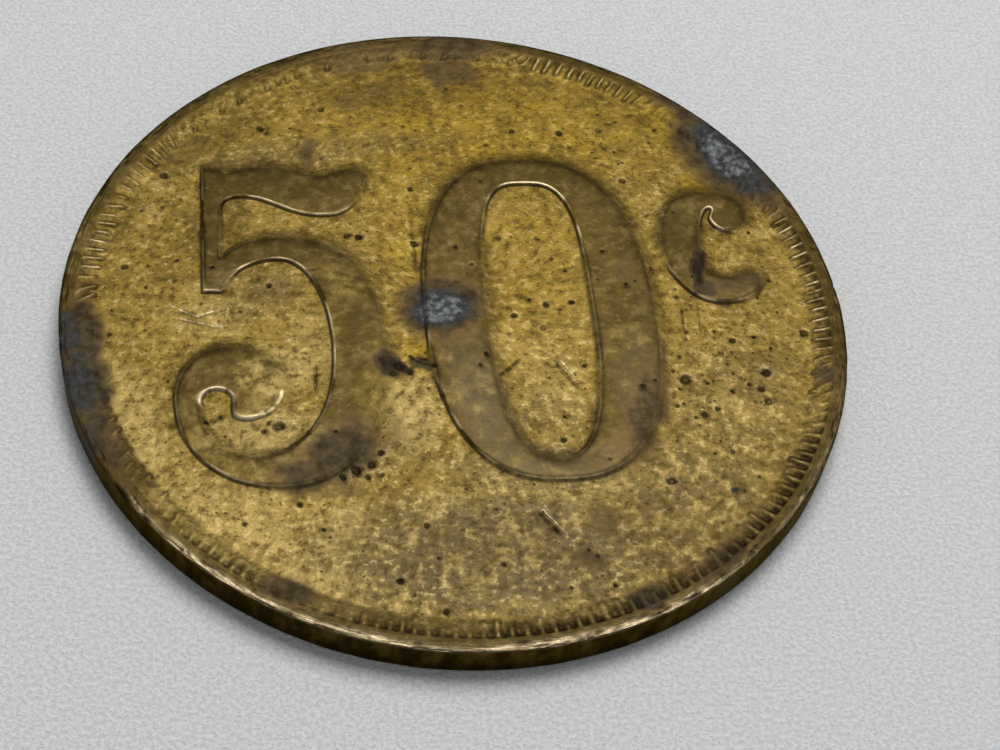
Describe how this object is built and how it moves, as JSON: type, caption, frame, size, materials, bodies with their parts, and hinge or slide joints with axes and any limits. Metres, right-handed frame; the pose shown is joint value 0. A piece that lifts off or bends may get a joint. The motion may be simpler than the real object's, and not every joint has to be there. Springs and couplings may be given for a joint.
{
  "type": "transit token",
  "caption": "Round struck brass fare token with raised numerals inside a border of radial denticles and a plain raised rim.",
  "frame": {"origin": "centre of the flat ring of the lower rim, at the bottom of the part's bounding box", "axes": "+Z through the disc from the plain face to the face with the numerals; the numerals read upright along +Y"},
  "size_m": [0.032, 0.032, 0.0015],
  "materials": {
    "struck_brass": "circulated brass with brown tarnish, blue-grey stains, fine pits and worn bright high spots"
  },
  "bodies": {
    "root": {"struck_disc": "struck_brass"}
  },
  "joints": []
}
